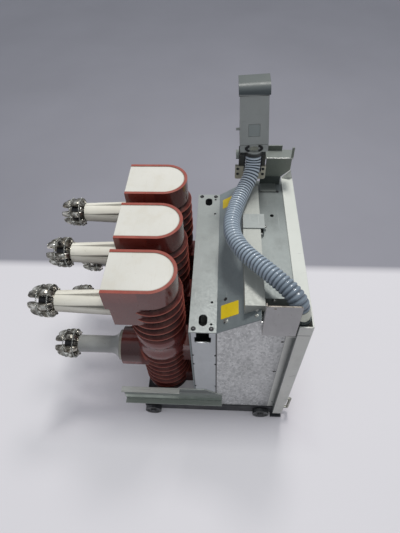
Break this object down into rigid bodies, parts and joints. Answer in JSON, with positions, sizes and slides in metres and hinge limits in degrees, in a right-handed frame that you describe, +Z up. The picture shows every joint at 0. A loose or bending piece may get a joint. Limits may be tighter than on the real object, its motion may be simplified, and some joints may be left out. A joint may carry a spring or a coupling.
{
  "type": "withdrawable gas insulated circuit breaker",
  "caption": "Withdrawable medium-voltage circuit breaker on a wheeled truck, with ribbed resin poles, finger contacts, a sheet-metal drive enclosure and a control plug on a hose.",
  "frame": {"origin": "on the floor, under the middle of the breaker's width and depth", "axes": "+X to the operator's right across the width, +Y from the front cover to the contacts, +Z up"},
  "size_m": [0.485, 0.651, 0.8148],
  "materials": {
    "red_resin": "cast epoxy resin, red-brown, semi-gloss",
    "white_lid": "white moulded lid",
    "ivory_sleeve": "ivory heat shrunk insulation, grubby",
    "grey_sleeve": "grey moulded insulating sleeve",
    "silvered_copper": "silver plated copper, tarnished",
    "galvanised_sheet": "zinc coated sheet steel with spangle",
    "grey_paint": "dark grey painted sheet",
    "cream_paint": "cream painted sheet",
    "panel_plastic": "dark grey moulded panel",
    "shield_plate": "zinc coated plate, slightly pink",
    "plated_metal": "zinc plated, yellowish",
    "hose_plastic": "corrugated conduit, blue-grey",
    "plug_housing": "grey moulded connector housing",
    "black_steel": "dark painted steel section",
    "wheel_steel": "plain steel wheel"
  },
  "bodies": {
    "breaker": {"pole_left": "red_resin", "pole_middle": "red_resin", "pole_right": "red_resin", "lid_left": "white_lid", "lid_middle": "white_lid", "lid_right": "white_lid", "upper_sleeve_left": "ivory_sleeve", "upper_sleeve_middle": "ivory_sleeve", "upper_sleeve_right": "ivory_sleeve", "lower_sleeve_left": "grey_sleeve", "lower_sleeve_middle": "grey_sleeve", "lower_sleeve_right": "grey_sleeve", "upper_contact_left": "silvered_copper", "upper_contact_middle": "silvered_copper", "upper_contact_right": "silvered_copper", "lower_contact_left": "silvered_copper", "lower_contact_middle": "silvered_copper", "lower_contact_right": "silvered_copper", "rear_wall": "galvanised_sheet", "channel_top": "galvanised_sheet", "channel_sides": "galvanised_sheet", "side_plate_left": "galvanised_sheet", "side_plate_right": "galvanised_sheet", "base_plate": "galvanised_sheet", "sloped_cover": "galvanised_sheet", "deck_plate": "galvanised_sheet", "cable_trunk": "galvanised_sheet", "trunk_strap": "galvanised_sheet", "front_frame_left": "grey_paint", "front_frame_right": "grey_paint", "front_cover": "cream_paint", "operating_panel": "panel_plastic", "hose_shield": "shield_plate", "hose_gland": "plated_metal", "hose": "hose_plastic", "plug": "plug_housing", "plug_clamp": "plated_metal", "plug_shelf": "plated_metal", "truck_frame": "black_steel", "truck_front": "plated_metal", "shutter_rails": "galvanised_sheet"},
    "wheel_front_left": {"wheel_front_left": "wheel_steel"},
    "wheel_front_right": {"wheel_front_right": "wheel_steel"},
    "wheel_rear_left": {"wheel_rear_left": "wheel_steel"},
    "wheel_rear_right": {"wheel_rear_right": "wheel_steel"}
  },
  "joints": [
    {"name": "wheel_front_left_spin", "type": "hinge", "parent": "breaker", "child": "wheel_front_left", "pos_m": [-0.235, -0.2405, 0.024], "axis": [1, 0, 0], "continuous": true},
    {"name": "wheel_rear_left_spin", "type": "hinge", "parent": "breaker", "child": "wheel_rear_left", "pos_m": [-0.235, 0.0815, 0.024], "axis": [1, 0, 0], "continuous": true},
    {"name": "wheel_front_right_spin", "type": "hinge", "parent": "breaker", "child": "wheel_front_right", "pos_m": [0.235, -0.2405, 0.024], "axis": [1, 0, 0], "continuous": true},
    {"name": "wheel_rear_right_spin", "type": "hinge", "parent": "breaker", "child": "wheel_rear_right", "pos_m": [0.235, 0.0815, 0.024], "axis": [1, 0, 0], "continuous": true}
  ]
}
